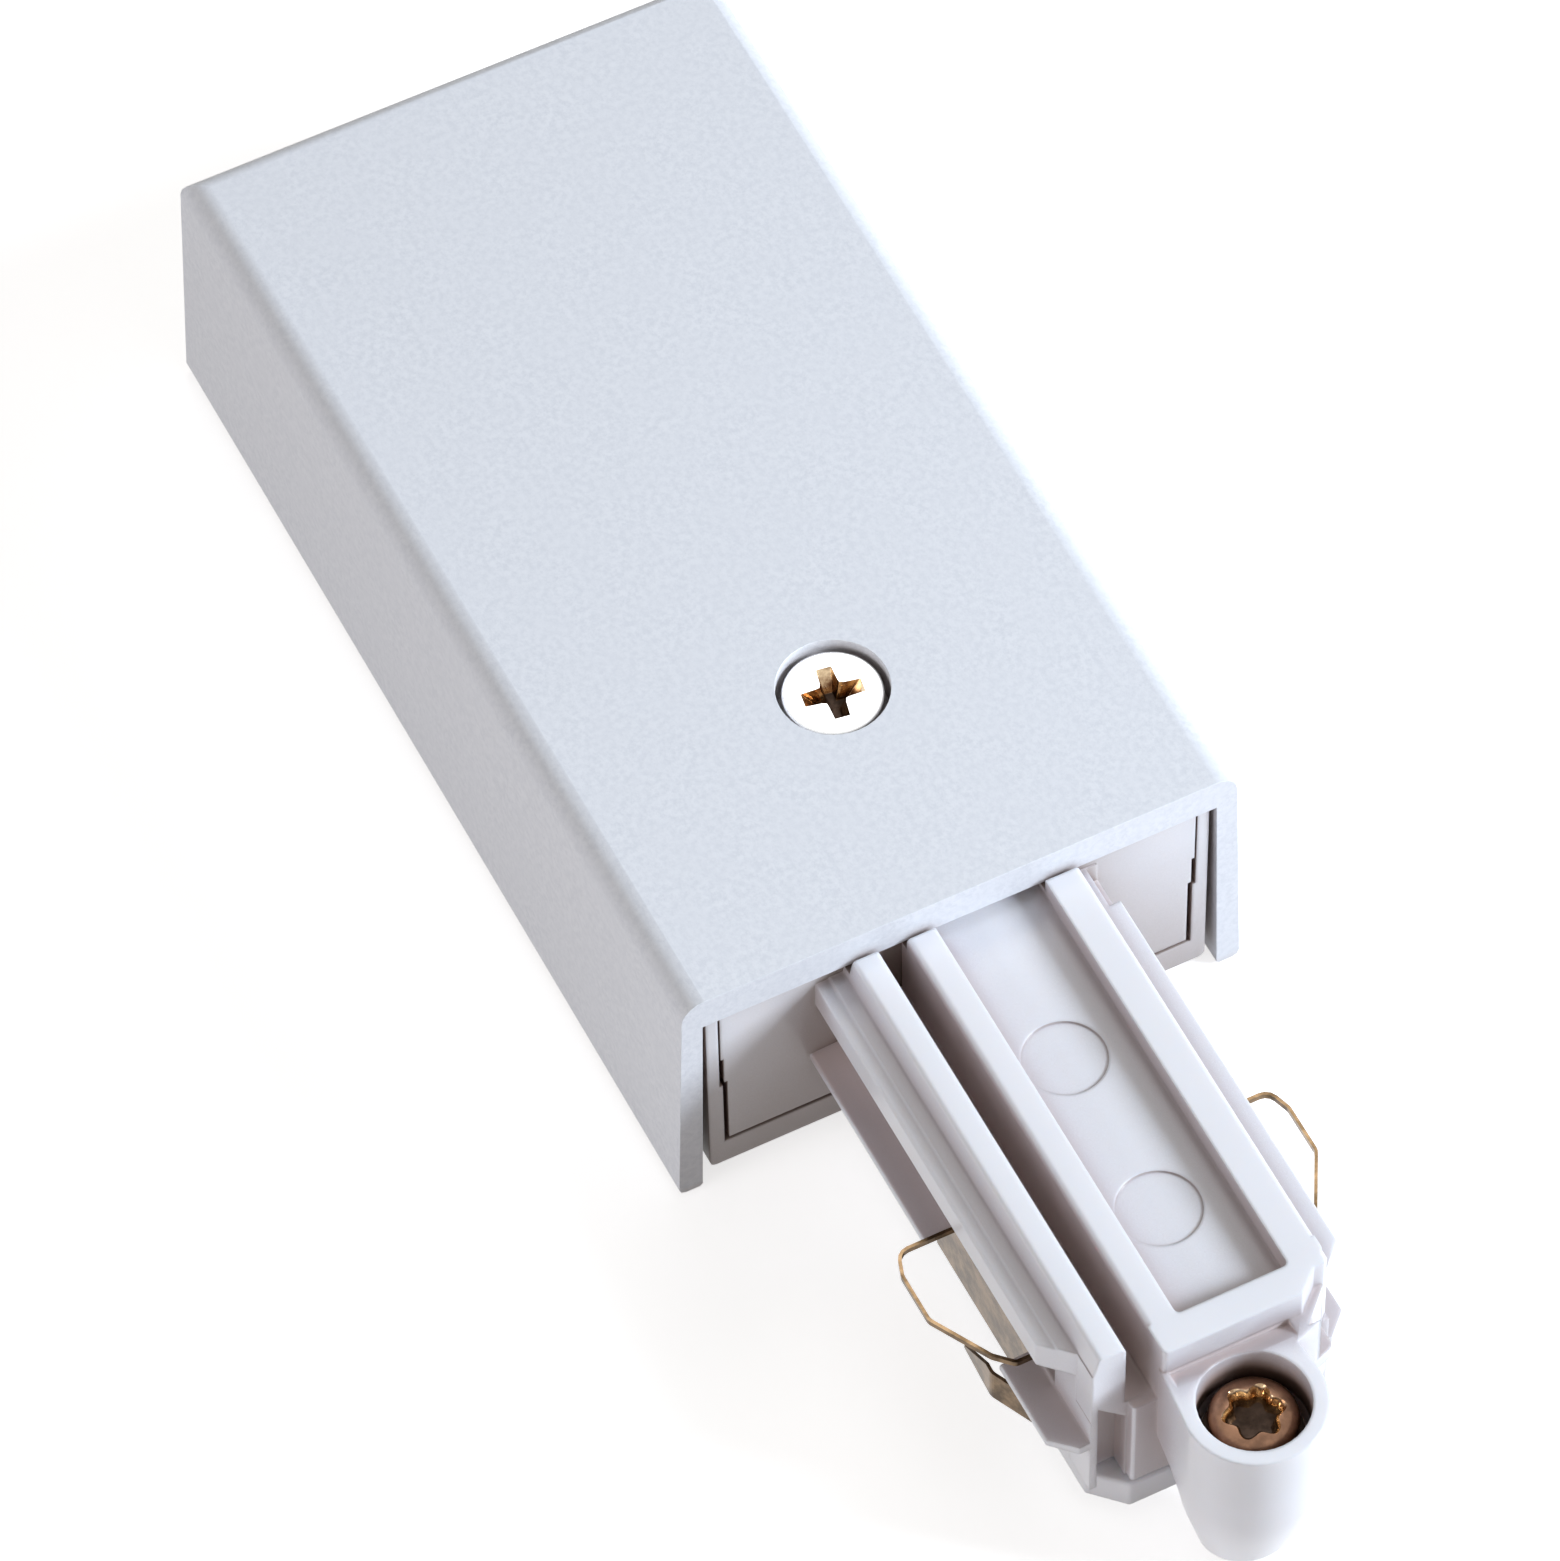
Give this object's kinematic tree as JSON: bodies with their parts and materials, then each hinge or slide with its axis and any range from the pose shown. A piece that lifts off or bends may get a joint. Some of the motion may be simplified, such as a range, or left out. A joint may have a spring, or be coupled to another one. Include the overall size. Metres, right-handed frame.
{
  "type": "track light power feed",
  "caption": "Live-end feed for a surface lighting track: a white U-shaped cover over a screw-down base, and a moulded adapter tongue with spring contacts and a lock screw at its tip.",
  "frame": {"origin": "middle of the bounding box in X and Y, at the ceiling plane z = 0 that the cover's rim and the base's pads meet", "axes": "+X runs along the track, from the cover out through the tongue's tip; +Z points away from the ceiling; +Y completes the frame"},
  "size_m": [0.105, 0.036, 0.0183],
  "materials": {
    "textured_white": "fine-textured matte white moulding",
    "smooth_white": "smooth semi-gloss white moulding",
    "zinc_screw": "zinc-plated steel",
    "bronzed_screw": "yellow-bronze plated, worn bright at the recess",
    "spring_bronze": "bright stamped spring bronze, dark in the recesses",
    "brass": "plain stamped and drilled brass"
  },
  "bodies": {
    "base": {"base_plate": "smooth_white", "adapter_housing": "smooth_white", "adapter_bottom": "smooth_white", "live_bar": "brass", "neutral_bar": "brass", "earth_bar": "brass", "live_terminal": "brass", "neutral_terminal": "brass", "earth_terminal": "brass", "lock_insert": "brass"},
    "cover": {"cover": "textured_white"},
    "cover_screw": {"cover_screw": "zinc_screw"},
    "lock_screw": {"lock_screw": "bronzed_screw"},
    "live_terminal_screw": {"live_terminal_screw": "zinc_screw"},
    "neutral_terminal_screw": {"neutral_terminal_screw": "zinc_screw"},
    "earth_terminal_screw": {"earth_terminal_screw": "zinc_screw"},
    "cable_clamp": {"cable_clamp": "smooth_white"},
    "clamp_screw_left": {"clamp_screw_left": "zinc_screw"},
    "clamp_screw_right": {"clamp_screw_right": "zinc_screw"},
    "live_contact": {"live_contact": "spring_bronze"},
    "neutral_contact": {"neutral_contact": "spring_bronze"},
    "earth_contact": {"earth_contact": "spring_bronze"}
  },
  "joints": [
    {"name": "cover_lift", "type": "slide", "parent": "base", "child": "cover", "axis": [0, 0, 1], "range_m": [0, 0.025]},
    {"name": "cover_screw_turn", "type": "hinge", "parent": "cover", "child": "cover_screw", "pos_m": [-0.00185, 0, 0.0177], "axis": [0, 0, 1], "continuous": true},
    {"name": "lock_screw_turn", "type": "hinge", "parent": "base", "child": "lock_screw", "pos_m": [0.04845, 0, 0.0133], "axis": [0, 0, 1], "continuous": true},
    {"name": "live_terminal_screw_turn", "type": "hinge", "parent": "base", "child": "live_terminal_screw", "pos_m": [-0.01355, -0.01, 0.0146], "axis": [0, 0, 1], "continuous": true},
    {"name": "neutral_terminal_screw_turn", "type": "hinge", "parent": "base", "child": "neutral_terminal_screw", "pos_m": [-0.01355, 0.01, 0.0146], "axis": [0, 0, 1], "continuous": true},
    {"name": "earth_terminal_screw_turn", "type": "hinge", "parent": "base", "child": "earth_terminal_screw", "pos_m": [-0.01355, 0, 0.0146], "axis": [0, 0, 1], "continuous": true},
    {"name": "cable_clamp_lift", "type": "slide", "parent": "base", "child": "cable_clamp", "axis": [0, 0, 1], "range_m": [0, 0.002]},
    {"name": "clamp_screw_left_turn", "type": "hinge", "parent": "cable_clamp", "child": "clamp_screw_left", "pos_m": [-0.02355, -0.01, 0.0134], "axis": [0, 0, 1], "continuous": true},
    {"name": "clamp_screw_right_turn", "type": "hinge", "parent": "cable_clamp", "child": "clamp_screw_right", "pos_m": [-0.02355, 0.01, 0.0134], "axis": [0, 0, 1], "continuous": true},
    {"name": "live_contact_flex", "type": "hinge", "parent": "base", "child": "live_contact", "pos_m": [0.0279, -0.0056, 0.01], "axis": [0, 0, 1], "range_deg": [0, 6], "stiffness_Nm_per_rad": 0.12},
    {"name": "neutral_contact_flex", "type": "hinge", "parent": "base", "child": "neutral_contact", "pos_m": [0.0279, 0.0056, 0.01], "axis": [0, 0, -1], "range_deg": [0, 6], "stiffness_Nm_per_rad": 0.12},
    {"name": "earth_contact_flex", "type": "hinge", "parent": "base", "child": "earth_contact", "pos_m": [0.0279, -0.0053, 0.006], "axis": [0, 0, 1], "range_deg": [0, 4], "stiffness_Nm_per_rad": 0.12}
  ]
}
